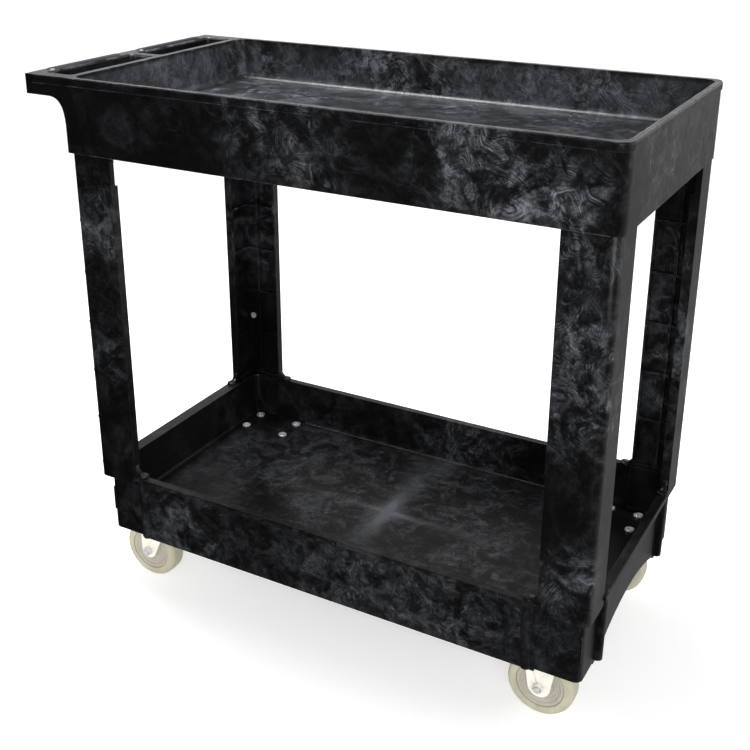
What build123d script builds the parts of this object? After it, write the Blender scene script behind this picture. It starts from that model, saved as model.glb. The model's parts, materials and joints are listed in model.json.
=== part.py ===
"""Two-shelf service trolley: moulded shelves, four corner legs, two swivel and two rigid casters.

Millimetres. +X runs along the shelves and away from the handle, +Y is the side-to-side
symmetry direction, +Z is up. The origin is on the floor, under the middle of the trolley.
"""
from build123d import *
import os

# ---------------------------------------------------------------- overall
OVERALL_LENGTH = 926.0
OVERALL_WIDTH = 450.0
RIM_TOP = 861.0

# ---------------------------------------------------------------- upper shelf
RIM_LIP = 1.5
RIM_HEIGHT = 12.0
RIM_CORNER = 17.0
RIM_ROUND = 3.5
APRON_HEIGHT = 113.0
APRON_WALL = 4.5
HANDLE_REACH = 72.5
TUB_DEPTH = 68.0
TUB_FLOOR = 5.0
TUB_RIM_WIDTH = 7.0
TUB_DRAFT = 2.0
TUB_CORNER = 16.0
TUB_FILLET = 11.0
TUB_CREST = 10.5
UNDER_RIB = 3.0
UNDER_RIB_DEPTH = 11.0
UNDER_RIB_PITCH = 165.0
UNDER_RIB_COUNT = 4
UNDER_RIB_Y = 61.0

# ---------------------------------------------------------------- handle
HANDLE_DEPTH = 30.0
DECK_THICKNESS = 5.0
GRIP_BAR = 23.0
SLOT_WEB = 20.0
SLOT_END_MARGIN = 23.5
SLOT_CORNER = 6.0
SLOT_SKIRT = 3.5
SLOT_WALL_GAP = 3.0
SLOT_FLARE = 3.0
SLOT_FLARE_ANGLE = 45.0
BEAD_RISE = 3.0
BEAD_WIDTH = 19.0
BEAD_END_GAP = 13.0
CHEEK_RUN = 30.0
CHEEK_DROP = 50.0

# ---------------------------------------------------------------- legs
LEG_INSET = 2.0
LEG_WIDTH_X = 75.0
LEG_WIDTH_Y = 61.0
LEG_SKIN = 6.0
LEG_CORNER = 12.0
LEG_FOOT_DROP = 14.5
LEG_FIT = 0.3
LEG_RIB = 4.0
LEG_RIB_DEPTH = 8.0
LEG_RIB_PITCH = 84.0
LEG_PAD_ABOVE_RIM = 8.0
TENON_OVERLAP = 45.0
TENON_WALL = 6.0
SOCKET_LIP = 6.0

# ---------------------------------------------------------------- lower shelf
PAD_HANDLE = 15.2
PAD_END = 7.7
TRAY_DEPTH = 79.5
TRAY_RIM_HEIGHT = 6.5
TRAY_RIM_OUT = 3.0
TRAY_RIM_ROUND = 2.0
TRAY_FLOOR = 4.0
TRAY_WALL = 4.0
TRAY_CORNER = 12.0
TRAY_FILLET = 6.0
TRAY_DRAFT = 1.5
SKIRT_DROP = 33.0
BLOCK_DROP = 29.0
POST_RADIUS = 9.0
POST_FOOT_RADIUS = 7.5
POST_GAP = 3.0
POST_RISE = 4.5
POST_LIFT = 4.0
POST_TOP_ROUND = 2.5
WEB_RADIUS = 14.0
GUSSET_RUN = 62.0
GUSSET_DEPTH = 7.5
CORNER_GUSSET_RUN = 36.0
CORNER_GUSSET_RISE = 42.0

# ---------------------------------------------------------------- casters
WHEEL_RADIUS = 50.8
WHEEL_WIDTH = 30.0
TREAD_ROUND = 5.0
CORE_RADIUS = 36.6
CORE_WIDTH = 27.0
HUB_RADIUS = 15.0
WEB_WIDTH = 17.0
CORE_RIM = 6.0
HUB_SIDE_CLEARANCE = 0.4
BUSH_RADIUS = 7.0
AXLE_RADIUS = 4.8
AXLE_CLEARANCE = 0.1
WHEEL_RUNNING = 0.06
AXLE_HEX = 14.0
AXLE_HEAD = 5.0
AXLE_NUT = 7.0
AXLE_TIP = 2.5
WHEEL_TOP_GAP = 15.4
FORK_GAP = 1.5
FORK_WALL = 2.8
PLATE_WALL = 3.0
PLATE_CORNER = 6.0
PLATE_MARGIN = 9.5

SWIVEL_INSET = 64.0
SWIVEL_TRAIL = 17.0
SWING_CLEARANCE = 0.4
SWIVEL_PITCH_X = 83.0
SWIVEL_PITCH_Y = 49.0
SWIVEL_BOSS = 14.0
CROWN_WALL = 3.8
CROWN_RADIUS = 27.0
CROWN_FRONT = 30.0
RACE_RADIUS = 19.5
RACE_INNER = 13.0
RACE_OUTER = 26.0
RACE_GAP = 2.4
RACE_RING = 3.8
BALL_RADIUS = 3.0
BALL_CLEARANCE = 0.1
BALL_COUNT = 12
KINGPIN_RADIUS = 6.0
KINGPIN_RUNNING = 0.06
KINGPIN_HEAD_RADIUS = 10.5
KINGPIN_HEAD = 3.6
KINGPIN_CAP_RADIUS = 9.0
KINGPIN_CAP = 1.4
KINGPIN_GAP = 0.3

RIGID_INSET = 67.5
RIGID_PITCH_X = 48.0
RIGID_PITCH_Y = 49.0
RIGID_BOSS = 17.0
RIGID_TOP_HALF = 30.0

# ---------------------------------------------------------------- fasteners
BOLT_RADIUS = 3.0
BOLT_CLEARANCE = 0.2
BOLT_HEAD_RADIUS = 7.8
BOLT_HEAD = 3.2
BOLT_HEX = 5.0
BOLT_HEX_DEPTH = 1.8
BOLT_SEAT_DEPTH = 0.5
BOLT_SEAT_CLEARANCE = 0.6
BOLT_NUT_HEX = 10.0
BOLT_NUT = 4.8
BOLT_TIP = 1.0
SCREW_RADIUS = 2.4
SCREW_CLEARANCE = 0.1
SCREW_HEAD_RADIUS = 5.0
SCREW_HEAD = 3.0
SCREW_BITE = 3.0
SCREW_SPARE = 0.3
RIVET_RISE = 136.0
RIVET_INSET = 16.0
RIVET_RADIUS = 3.0
RIVET_HEAD_RADIUS = 5.5
RIVET_HEAD = 2.2
RIVET_DEPTH = 4.0

# ---------------------------------------------------------------- worked out
X_HANDLE = -OVERALL_LENGTH / 2
X_END = OVERALL_LENGTH / 2
Y_SIDE = OVERALL_WIDTH / 2
APRON_Y = Y_SIDE - RIM_LIP
APRON_X0 = X_HANDLE + HANDLE_REACH
APRON_X1 = X_END - RIM_LIP
APRON_BOTTOM = RIM_TOP - APRON_HEIGHT
TUB_TOP_Y = Y_SIDE - RIM_LIP - TUB_RIM_WIDTH
TUB_X0 = APRON_X0 + TUB_CREST
TUB_X1 = APRON_X1 - TUB_RIM_WIDTH
FLOOR_TOP = RIM_TOP - TUB_DEPTH
FLOOR_BOTTOM = FLOOR_TOP - TUB_FLOOR
HANDLE_BOTTOM = RIM_TOP - HANDLE_DEPTH
SLOT_X0 = X_HANDLE + GRIP_BAR
SLOT_X1 = APRON_X0 - SLOT_WALL_GAP
SLOT_WIDTH = SLOT_X1 - SLOT_X0
SLOT_Y0 = SLOT_WEB / 2
SLOT_Y1 = APRON_Y - SLOT_END_MARGIN
LEG_X0 = APRON_X0 + LEG_INSET
LEG_X1 = APRON_X1 - LEG_INSET
LEG_Y = APRON_Y - LEG_INSET
CROWN_BOTTOM = 2 * WHEEL_RADIUS + WHEEL_TOP_GAP
CROWN_TOP = CROWN_BOTTOM + CROWN_WALL
RACE_FACE = CROWN_TOP + RACE_GAP
PLATE_BOTTOM = RACE_FACE + RACE_RING
PLATE_TOP = PLATE_BOTTOM + PLATE_WALL
TRAY_FLOOR_BOTTOM = PLATE_TOP
TRAY_FLOOR_TOP = TRAY_FLOOR_BOTTOM + TRAY_FLOOR
TRAY_RIM_TOP = TRAY_FLOOR_TOP + TRAY_DEPTH
SIDE_SKIRT_BOTTOM = TRAY_FLOOR_BOTTOM - SKIRT_DROP
BLOCK_BOTTOM = TRAY_FLOOR_BOTTOM - BLOCK_DROP
LEG_BOTTOM = TRAY_RIM_TOP - LEG_FOOT_DROP
RIVET_HEIGHT = LEG_BOTTOM + RIVET_RISE
PAD_TOP = TRAY_RIM_TOP + LEG_PAD_ABOVE_RIM
TRAY_X_HANDLE = LEG_X0 + PAD_HANDLE + LEG_FIT
TRAY_X_END = LEG_X1 - PAD_END - LEG_FIT
TRAY_Y = LEG_Y - LEG_SKIN - LEG_FIT
FORK_INNER = WHEEL_WIDTH / 2 + FORK_GAP
FORK_OUTER = FORK_INNER + FORK_WALL
SKIRT_CHORD = (WHEEL_RADIUS ** 2 - (SIDE_SKIRT_BOTTOM - WHEEL_RADIUS) ** 2) ** 0.5
SWING_REACH = ((SWIVEL_TRAIL + SKIRT_CHORD) ** 2 + (WHEEL_WIDTH / 2) ** 2) ** 0.5
CASTER_Y = TRAY_Y - TRAY_WALL - SWING_REACH - SWING_CLEARANCE
SWIVEL_X = TRAY_X_HANDLE + SWIVEL_INSET
RIGID_X = TRAY_X_END - RIGID_INSET
BOLT_SEAT = TRAY_FLOOR_TOP - BOLT_SEAT_DEPTH
OVERSHOOT = 1.0
EDGE_TOLERANCE = 0.01


def block(x0, x1, y0, y1, z0, z1):
    """Box between two opposite corners."""
    centre = Pos((x0 + x1) / 2, (y0 + y1) / 2, (z0 + z1) / 2)
    return centre * Box(abs(x1 - x0), abs(y1 - y0), abs(z1 - z0))


def prism(x0, x1, y_half, z0, z1, radius, draft=0.0):
    """Upright block with rounded vertical corners, centred on Y, widening upward by the draft angle."""
    base = Pos((x0 + x1) / 2, 0, z0) * RectangleRounded(x1 - x0, 2 * y_half, radius)
    return extrude(base, amount=z1 - z0, taper=-draft)


def rod(start, radius, length, axis):
    """Cylinder from a start point along +X, +Y or +Z; a negative length runs the other way."""
    turn = {"X": Rot(0, 90, 0), "Y": Rot(-90, 0, 0), "Z": Rot(0, 0, 0)}[axis]
    side = 1 if length > 0 else -1
    return Pos(*start) * turn * Pos(0, 0, length / 2) * Cylinder(radius, side * length)


def hex_bar(start, across_flats, length, axis):
    """Hexagonal bar from a start point along +Y or +Z; a negative length runs the other way."""
    turn = {"Y": Rot(-90, 0, 0), "Z": Rot(0, 0, 0)}[axis]
    outline = RegularPolygon(across_flats / 2, 6, major_radius=False)
    return Pos(*start) * turn * extrude(outline, amount=length)


def fillet_at(shape, height, radius):
    """Round the horizontal edges that lie at one height."""
    edges = shape.edges().filter_by_position(Axis.Z, height - EDGE_TOLERANCE, height + EDGE_TOLERANCE)
    return fillet(edges, radius)


def corners():
    """The four leg corners as (node name part, x side, y side)."""
    for end_name, x_side in (("handle", -1), ("end", 1)):
        for side_name, y_side in (("near", -1), ("far", 1)):
            yield f"{side_name}_{end_name}", x_side, y_side


def leg_face_x(x_side):
    """X of the outer face of the legs at one end."""
    return LEG_X1 if x_side > 0 else LEG_X0


def tray_face_x(x_side):
    """X of the outer face of the lower shelf at one end."""
    return TRAY_X_END if x_side > 0 else TRAY_X_HANDLE


def apron_face_x(x_side):
    """X of the outer face of the upper apron at one end."""
    return APRON_X1 if x_side > 0 else APRON_X0


# ---------------------------------------------------------------- upper shelf
def handle_cheek(y_side):
    """Side plate of the handle, with its underside curving down into the apron."""
    curve_start = APRON_X0 - CHEEK_RUN
    curve_end = HANDLE_BOTTOM - CHEEK_DROP
    outline = [
        Line((X_HANDLE, RIM_TOP), (X_HANDLE, HANDLE_BOTTOM)),
        Line((X_HANDLE, HANDLE_BOTTOM), (curve_start, HANDLE_BOTTOM)),
        Spline((curve_start, HANDLE_BOTTOM), (APRON_X0, curve_end), tangents=((1, 0), (0, -1))),
        Line((APRON_X0, curve_end), (TUB_X0, curve_end)),
        Line((TUB_X0, curve_end), (TUB_X0, RIM_TOP)),
        Line((TUB_X0, RIM_TOP), (X_HANDLE, RIM_TOP)),
    ]
    plate = extrude(Rot(90, 0, 0) * make_face(outline), amount=APRON_WALL / 2, both=True)
    return Pos(0, y_side * (APRON_Y - APRON_WALL / 2), 0) * plate


def handle_beads():
    """Two raised grips with domed ends on the outer bar of the handle."""
    half = BEAD_WIDTH / 2
    radius = (half ** 2 + BEAD_RISE ** 2) / (2 * BEAD_RISE)
    centre_x = X_HANDLE + GRIP_BAR / 2
    centre_z = RIM_TOP + BEAD_RISE - radius
    keep = block(X_HANDLE, SLOT_X0, -Y_SIDE, Y_SIDE, RIM_TOP - OVERSHOOT, RIM_TOP + BEAD_RISE + OVERSHOOT)
    beads = []
    for y_side in (-1, 1):
        inner = y_side * (SLOT_Y0 + BEAD_END_GAP + half)
        outer = y_side * (SLOT_Y1 - BEAD_END_GAP - half)
        bead = rod((centre_x, inner, centre_z), radius, outer - inner, "Y")
        for end in (inner, outer):
            bead += Pos(centre_x, end, centre_z) * Sphere(radius)
        beads.append(bead & keep)
    return beads


def handle():
    """Hollow handle deck with two hand slots, their skirts, the cheeks and the raised grips."""
    deck = prism(X_HANDLE, TUB_X0 + RIM_CORNER, APRON_Y, HANDLE_BOTTOM, RIM_TOP, LEG_CORNER)
    deck &= block(X_HANDLE, TUB_X0, -Y_SIDE, Y_SIDE, HANDLE_BOTTOM, RIM_TOP)
    under = block(X_HANDLE + APRON_WALL, APRON_X0, -APRON_Y + APRON_WALL, APRON_Y - APRON_WALL,
                  HANDLE_BOTTOM - OVERSHOOT, RIM_TOP - DECK_THICKNESS)
    deck -= under
    length = SLOT_Y1 - SLOT_Y0
    middle = (SLOT_Y0 + SLOT_Y1) / 2
    slot_x = (SLOT_X0 + SLOT_X1) / 2
    for y_side in (-1, 1):
        place = Pos(slot_x, y_side * middle, HANDLE_BOTTOM)
        skirt_face = RectangleRounded(SLOT_WIDTH + 2 * SLOT_SKIRT, length + 2 * SLOT_SKIRT, SLOT_CORNER)
        deck += place * extrude(skirt_face, amount=HANDLE_DEPTH - DECK_THICKNESS / 2)
        deck += handle_cheek(y_side)
    for y_side in (-1, 1):
        place = Pos(slot_x, y_side * middle, HANDLE_BOTTOM - OVERSHOOT)
        slot_face = RectangleRounded(SLOT_WIDTH, length, SLOT_CORNER)
        deck -= place * extrude(slot_face, amount=HANDLE_DEPTH + 2 * OVERSHOOT)
        flare_place = Pos(slot_x, y_side * middle, RIM_TOP - SLOT_FLARE)
        deck -= flare_place * extrude(slot_face, amount=SLOT_FLARE, taper=-SLOT_FLARE_ANGLE)
    for bead in handle_beads():
        deck += bead
    return deck


def upper_rim():
    """Rolled rim bead that runs round the tub and the handle."""
    rim = prism(X_HANDLE, X_END, Y_SIDE, RIM_TOP - RIM_HEIGHT, RIM_TOP, RIM_CORNER)
    rim = fillet_at(rim, RIM_TOP, RIM_ROUND)
    rim = fillet_at(rim, RIM_TOP - RIM_HEIGHT, RIM_LIP / 2)
    inner = prism(X_HANDLE + APRON_WALL, APRON_X1 - APRON_WALL, APRON_Y - APRON_WALL,
                  RIM_TOP - RIM_HEIGHT - OVERSHOOT, RIM_TOP + OVERSHOOT, RIM_CORNER - RIM_LIP - APRON_WALL)
    return rim - inner


def under_ribs():
    """Crossing stiffeners under the tub floor, clear of the leg tenons."""
    low = FLOOR_BOTTOM - UNDER_RIB_DEPTH
    high = FLOOR_BOTTOM + OVERSHOOT
    x0 = APRON_X0 + APRON_WALL / 2
    x1 = APRON_X1 - APRON_WALL / 2
    y1 = APRON_Y - APRON_WALL / 2
    ribs = []
    for y in (-UNDER_RIB_Y, UNDER_RIB_Y):
        ribs.append(block(x0, x1, y - UNDER_RIB / 2, y + UNDER_RIB / 2, low, high))
    for place in GridLocations(UNDER_RIB_PITCH, 1, UNDER_RIB_COUNT, 1):
        x = (APRON_X0 + APRON_X1) / 2 + place.position.X
        ribs.append(block(x - UNDER_RIB / 2, x + UNDER_RIB / 2, -y1, y1, low, high))
    return ribs


def socket_ribs(x_side, y_side):
    """Two ribs that close the leg socket inside the apron corner."""
    x_face = apron_face_x(x_side)
    rib_x = x_face - x_side * (LEG_INSET + LEG_WIDTH_X + LEG_FIT)
    rib_y = y_side * (LEG_Y - LEG_WIDTH_Y - LEG_FIT)
    reach = APRON_WALL + LEG_FIT + TENON_WALL + LEG_RIB_DEPTH
    y_face = y_side * APRON_Y
    high = FLOOR_BOTTOM + OVERSHOOT
    along_x = block(rib_x, rib_x - x_side * UNDER_RIB, y_face - y_side * APRON_WALL / 2,
                    y_face - y_side * reach, APRON_BOTTOM, high)
    along_y = block(x_face - x_side * APRON_WALL / 2, x_face - x_side * reach, rib_y,
                    rib_y - y_side * UNDER_RIB, APRON_BOTTOM, high)
    return along_x, along_y


def socket_lip(y_side):
    """Small collar that hangs below the apron beside a handle-end leg."""
    x0 = LEG_X0 + LEG_WIDTH_X + LEG_FIT
    y_face = y_side * APRON_Y
    return block(x0, x0 + SOCKET_LIP, y_face - y_side * LEG_INSET, y_face - y_side * APRON_WALL,
                 APRON_BOTTOM - SOCKET_LIP, APRON_BOTTOM + OVERSHOOT)


def square_corner(y_side):
    """Fills the round of the apron's handle-end corner, so that the cheek runs straight into it."""
    return block(APRON_X0, APRON_X0 + RIM_CORNER, y_side * APRON_Y, y_side * (APRON_Y - RIM_CORNER),
                 APRON_BOTTOM, RIM_TOP)


def upper_shelf():
    """Deep moulded tub with its apron, rim, handle and leg sockets."""
    shelf = prism(APRON_X0, APRON_X1, APRON_Y, APRON_BOTTOM, RIM_TOP, RIM_CORNER - RIM_LIP)
    for y_side in (-1, 1):
        shelf += square_corner(y_side)
    shelf -= prism(APRON_X0 + APRON_WALL, APRON_X1 - APRON_WALL, APRON_Y - APRON_WALL,
                   APRON_BOTTOM - OVERSHOOT, FLOOR_BOTTOM, RIM_CORNER - RIM_LIP - APRON_WALL)
    shelf += upper_rim()
    shelf += handle()
    shrink = TUB_DEPTH * tan_degrees(TUB_DRAFT)
    cavity = prism(TUB_X0 + shrink, TUB_X1 - shrink, TUB_TOP_Y - shrink, FLOOR_TOP,
                   RIM_TOP + OVERSHOOT, TUB_CORNER, TUB_DRAFT)
    cavity = fillet_at(cavity, FLOOR_TOP, TUB_FILLET)
    shelf -= cavity
    for rib in under_ribs():
        shelf += rib
    for _, x_side, y_side in corners():
        for rib in socket_ribs(x_side, y_side):
            shelf += rib
    for y_side in (-1, 1):
        shelf += socket_lip(y_side)
    for start, length, axis in screw_places():
        step = 1 if length > 0 else -1
        shelf -= rod(start, SCREW_RADIUS + SCREW_CLEARANCE, length + step * SCREW_SPARE, axis)
    return shelf


def tan_degrees(angle):
    """Tangent of an angle in degrees, from the slope of a unit vector."""
    direction = Vector(1, 0, 0).rotate(Axis.Z, angle)
    return direction.Y / direction.X


# ---------------------------------------------------------------- legs
def corner_tube(x_side, y_side, x_face, y_face, x_width, y_width, x_wall, y_wall, z0, z1, radius):
    """Upright L section with its outer corner at the two faces."""
    x_in = x_face - x_side * x_width
    y_in = y_side * (y_face - y_width)
    section = block(x_face, x_in, y_side * y_face, y_in, z0, z1)
    outer_edge = section.edges().filter_by(Axis.Z)
    outer_edge = outer_edge.sort_by(lambda edge: -(x_side * edge.center().X + y_side * edge.center().Y))[0]
    section = fillet(outer_edge, radius)
    inside = block(x_face - x_side * x_wall, x_in - x_side * OVERSHOOT, y_side * (y_face - y_wall),
                   y_in - y_side * OVERSHOOT, z0 - OVERSHOOT, z1 + OVERSHOOT)
    return section - inside


def leg_ribs(x_side, y_side):
    """Upright and cross ribs on the inside of the two leg flanges."""
    x_face = leg_face_x(x_side)
    x_skin = x_face - x_side * LEG_SKIN / 2
    x_rib = x_face - x_side * (LEG_SKIN + LEG_RIB_DEPTH)
    y_skin = y_side * (LEG_Y - LEG_SKIN / 2)
    y_rib = y_side * (LEG_Y - LEG_SKIN - LEG_RIB_DEPTH)
    x_end = x_face - x_side * LEG_WIDTH_X
    y_end = y_side * (LEG_Y - LEG_WIDTH_Y)
    low = PAD_TOP - OVERSHOOT
    high = APRON_BOTTOM - TENON_OVERLAP + OVERSHOOT
    ribs = [
        block(x_end, x_end + x_side * LEG_RIB, y_skin, y_rib, low, high),
        block(x_skin, x_rib, y_end, y_end + y_side * LEG_RIB, low, high),
    ]
    middle = x_face - x_side * LEG_WIDTH_X / 2
    ribs.append(block(middle, middle + x_side * LEG_RIB, y_skin, y_rib, low, high))
    count = int((high - low) / LEG_RIB_PITCH)
    for index in range(count + 1):
        z = low + index * LEG_RIB_PITCH
        ribs.append(block(x_skin, x_end, y_skin, y_rib, z, z + LEG_RIB))
        ribs.append(block(x_skin, x_rib, y_skin, y_end, z, z + LEG_RIB))
    return ribs


def leg(x_side, y_side):
    """Ribbed L-section leg with a foot pad for the lower shelf and a tenon for the upper one."""
    x_face = leg_face_x(x_side)
    body = corner_tube(x_side, y_side, x_face, LEG_Y, LEG_WIDTH_X, LEG_WIDTH_Y, LEG_SKIN, LEG_SKIN,
                       LEG_BOTTOM, APRON_BOTTOM, LEG_CORNER)
    pad_wall = abs(x_face - tray_face_x(x_side)) - LEG_FIT
    body += corner_tube(x_side, y_side, x_face, LEG_Y, LEG_WIDTH_X, LEG_WIDTH_Y, pad_wall, LEG_SKIN,
                        LEG_BOTTOM, PAD_TOP, LEG_CORNER)
    tenon_x = apron_face_x(x_side) - x_side * (APRON_WALL + LEG_FIT)
    tenon_y = APRON_Y - APRON_WALL - LEG_FIT
    x_width = abs(tenon_x - (x_face - x_side * LEG_WIDTH_X))
    y_width = tenon_y - (LEG_Y - LEG_WIDTH_Y)
    tenon_corner = RIM_CORNER - RIM_LIP - APRON_WALL
    body += corner_tube(x_side, y_side, tenon_x, tenon_y, x_width, y_width, TENON_WALL, TENON_WALL,
                        APRON_BOTTOM - TENON_OVERLAP, FLOOR_BOTTOM - LEG_FIT, tenon_corner)
    for rib in leg_ribs(x_side, y_side):
        body += rib
    for start, length, axis in screw_places():
        body -= rod(start, SCREW_RADIUS + SCREW_CLEARANCE, length, axis)
    for start, y_way in rivet_places():
        body -= rod(start, RIVET_RADIUS, y_way * RIVET_DEPTH, "Y")
    return body


# ---------------------------------------------------------------- lower shelf
def tray_post(x, y, low, back):
    """Half-round upright beside a leg pocket, tapering to its foot, with its backing block."""
    high = TRAY_RIM_TOP + POST_RISE
    post = Pos(x, y, (low + high) / 2) * Cone(POST_FOOT_RADIUS, POST_RADIUS, high - low)
    return fillet_at(post, high, POST_TOP_ROUND) + back


def rim_web(start, run_side, along_x):
    """Concave web that runs from the side of a leg down to the top of the post beside it."""
    low = TRAY_RIM_TOP - TRAY_RIM_HEIGHT
    foot = TRAY_RIM_TOP + POST_RISE
    outline = [
        Line((0, low), (WEB_RADIUS, low)),
        Line((WEB_RADIUS, low), (WEB_RADIUS, foot)),
        CenterArc((WEB_RADIUS, foot + WEB_RADIUS), WEB_RADIUS, 180, 90),
        Line((0, foot + WEB_RADIUS), (0, low)),
    ]
    web = extrude(Rot(90, 0, 0) * make_face(outline), amount=POST_FOOT_RADIUS / 2, both=True)
    turn = 0 if along_x else 90
    return Pos(*start) * Rot(0, 0, turn + (0 if run_side > 0 else 180)) * web


def side_post(x_side, y_side):
    """Upright and web on the long side of one leg pocket."""
    x_edge = leg_face_x(x_side) - x_side * (LEG_WIDTH_X + LEG_FIT)
    x = x_edge - x_side * (POST_GAP + POST_RADIUS)
    y = y_side * (LEG_Y + TRAY_RIM_OUT - POST_RADIUS)
    wall_y = y_side * (TRAY_Y - TRAY_WALL / 2)
    low = SIDE_SKIRT_BOTTOM + POST_LIFT
    back = block(x - POST_FOOT_RADIUS, x + POST_FOOT_RADIUS, y, wall_y, low, TRAY_RIM_TOP)
    return tray_post(x, y, low, back) + rim_web((x_edge, y, 0), -x_side, True)


def end_post(x_side, y_side):
    """Upright and web on the end-wall side of one leg pocket."""
    y_edge = y_side * (LEG_Y - LEG_WIDTH_Y - LEG_FIT)
    x = leg_face_x(x_side) + x_side * (TRAY_RIM_OUT - POST_RADIUS)
    y = y_edge - y_side * (POST_GAP + POST_RADIUS)
    wall_x = tray_face_x(x_side) - x_side * TRAY_WALL / 2
    back = block(x, wall_x, y - POST_FOOT_RADIUS, y + POST_FOOT_RADIUS, BLOCK_BOTTOM, TRAY_RIM_TOP)
    return tray_post(x, y, BLOCK_BOTTOM, back) + rim_web((x, y_edge, 0), -y_side, False)


def gusset(run, low, high):
    """Triangular brace in the XZ plane, upright at the origin and running out along +X."""
    slope = make_face(Polyline((0, low), (run, low), (0, high), close=True))
    return extrude(Rot(90, 0, 0) * slope, amount=GUSSET_DEPTH / 2, both=True)


def tray_gussets():
    """Sloping ribs against the side walls that brace each leg pocket and each corner."""
    low = TRAY_FLOOR_TOP - OVERSHOOT
    pocket_brace = gusset(GUSSET_RUN, low, TRAY_RIM_TOP - TRAY_RIM_HEIGHT)
    corner_brace = gusset(CORNER_GUSSET_RUN, low, TRAY_FLOOR_TOP + CORNER_GUSSET_RISE)
    gussets = []
    for _, x_side, y_side in corners():
        turn = Rot(0, 0, 0 if x_side < 0 else 180)
        y = y_side * (TRAY_Y - TRAY_WALL / 2 - GUSSET_DEPTH / 2)
        x_pocket = leg_face_x(x_side) - x_side * LEG_WIDTH_X
        x_corner = tray_face_x(x_side) - x_side * TRAY_WALL / 2
        gussets.append(Pos(x_pocket, y, 0) * turn * pocket_brace)
        gussets.append(Pos(x_corner, y, 0) * turn * corner_brace)
    return gussets


def end_arch(x_side):
    """Cutter for the arched lower edge of one end wall, between the corner blocks."""
    foot = LEG_Y - LEG_WIDTH_Y - LEG_FIT - POST_GAP - 2 * POST_RADIUS
    low = SIDE_SKIRT_BOTTOM - OVERSHOOT
    outline = [
        ThreePointArc((-foot, BLOCK_BOTTOM), (0, TRAY_FLOOR_BOTTOM), (foot, BLOCK_BOTTOM)),
        Line((foot, BLOCK_BOTTOM), (foot, low)),
        Line((foot, low), (-foot, low)),
        Line((-foot, low), (-foot, BLOCK_BOTTOM)),
    ]
    cutter = extrude(Plane.YZ * make_face(outline), amount=2 * TRAY_WALL, both=True)
    return Pos(tray_face_x(x_side), 0, 0) * cutter


def leg_pocket(x_side, y_side):
    """Cutter that opens the tray rim for a leg."""
    x_face = leg_face_x(x_side)
    x_in = x_face - x_side * (LEG_WIDTH_X + LEG_FIT)
    y_in = y_side * (LEG_Y - LEG_WIDTH_Y - LEG_FIT)
    x_out = x_face + x_side * (TRAY_RIM_OUT + OVERSHOOT)
    y_out = y_side * (LEG_Y + TRAY_RIM_OUT + OVERSHOOT)
    low = SIDE_SKIRT_BOTTOM - OVERSHOOT
    high = TRAY_RIM_TOP + OVERSHOOT
    return (block(x_in, x_out, y_side * TRAY_Y, y_out, low, high)
            + block(tray_face_x(x_side), x_out, y_in, y_out, low, high))


def tray_rim():
    """Flat rim that overhangs the tray walls on all four sides."""
    rim = prism(LEG_X0 - TRAY_RIM_OUT, LEG_X1 + TRAY_RIM_OUT, LEG_Y + TRAY_RIM_OUT,
                TRAY_RIM_TOP - TRAY_RIM_HEIGHT, TRAY_RIM_TOP, TRAY_CORNER)
    return fillet_at(rim, TRAY_RIM_TOP, TRAY_RIM_ROUND)


def bolt_centres():
    """Every caster mounting hole, as (x, y)."""
    centres = []
    for y_side in (-1, 1):
        for x, pitch_x, pitch_y in ((SWIVEL_X, SWIVEL_PITCH_X, SWIVEL_PITCH_Y),
                                    (RIGID_X, RIGID_PITCH_X, RIGID_PITCH_Y)):
            for grid in GridLocations(pitch_x, pitch_y, 2, 2):
                centres.append((x + grid.position.X, y_side * CASTER_Y + grid.position.Y))
    return centres


def lower_shelf():
    """Moulded tray with a flat rim, leg pockets between half-round posts and arched end walls."""
    shelf = prism(TRAY_X_HANDLE, TRAY_X_END, TRAY_Y, SIDE_SKIRT_BOTTOM, TRAY_RIM_TOP, TRAY_CORNER)
    shelf += tray_rim()
    for _, x_side, y_side in corners():
        shelf -= leg_pocket(x_side, y_side)
        x_block = leg_face_x(x_side) - x_side * (LEG_WIDTH_X + LEG_FIT)
        shelf -= block(x_block, tray_face_x(x_side) + x_side * OVERSHOOT, y_side * (LEG_Y - LEG_WIDTH_Y),
                       y_side * (TRAY_Y + OVERSHOOT), SIDE_SKIRT_BOTTOM - OVERSHOOT, BLOCK_BOTTOM)
        shelf += side_post(x_side, y_side) + end_post(x_side, y_side)
    shrink = (TRAY_RIM_TOP - TRAY_FLOOR_TOP) * tan_degrees(TRAY_DRAFT)
    cavity = prism(TRAY_X_HANDLE + TRAY_WALL + shrink, TRAY_X_END - TRAY_WALL - shrink,
                   TRAY_Y - TRAY_WALL - shrink, TRAY_FLOOR_TOP, TRAY_RIM_TOP + OVERSHOOT,
                   TRAY_CORNER, TRAY_DRAFT)
    cavity = fillet_at(cavity, TRAY_FLOOR_TOP, TRAY_FILLET)
    shelf -= cavity
    shelf -= prism(TRAY_X_HANDLE + TRAY_WALL, TRAY_X_END - TRAY_WALL, TRAY_Y - TRAY_WALL,
                   SIDE_SKIRT_BOTTOM - OVERSHOOT, TRAY_FLOOR_BOTTOM, TRAY_CORNER - TRAY_WALL)
    for gusset in tray_gussets():
        shelf += gusset
    for x_side in (-1, 1):
        shelf -= end_arch(x_side)
    for x, y in bolt_centres():
        shelf -= rod((x, y, TRAY_FLOOR_BOTTOM - OVERSHOOT), BOLT_RADIUS + BOLT_CLEARANCE,
                     TRAY_FLOOR + 2 * OVERSHOOT, "Z")
        shelf -= rod((x, y, BOLT_SEAT), BOLT_HEAD_RADIUS + BOLT_SEAT_CLEARANCE, TRAY_FLOOR, "Z")
    return shelf


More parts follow.
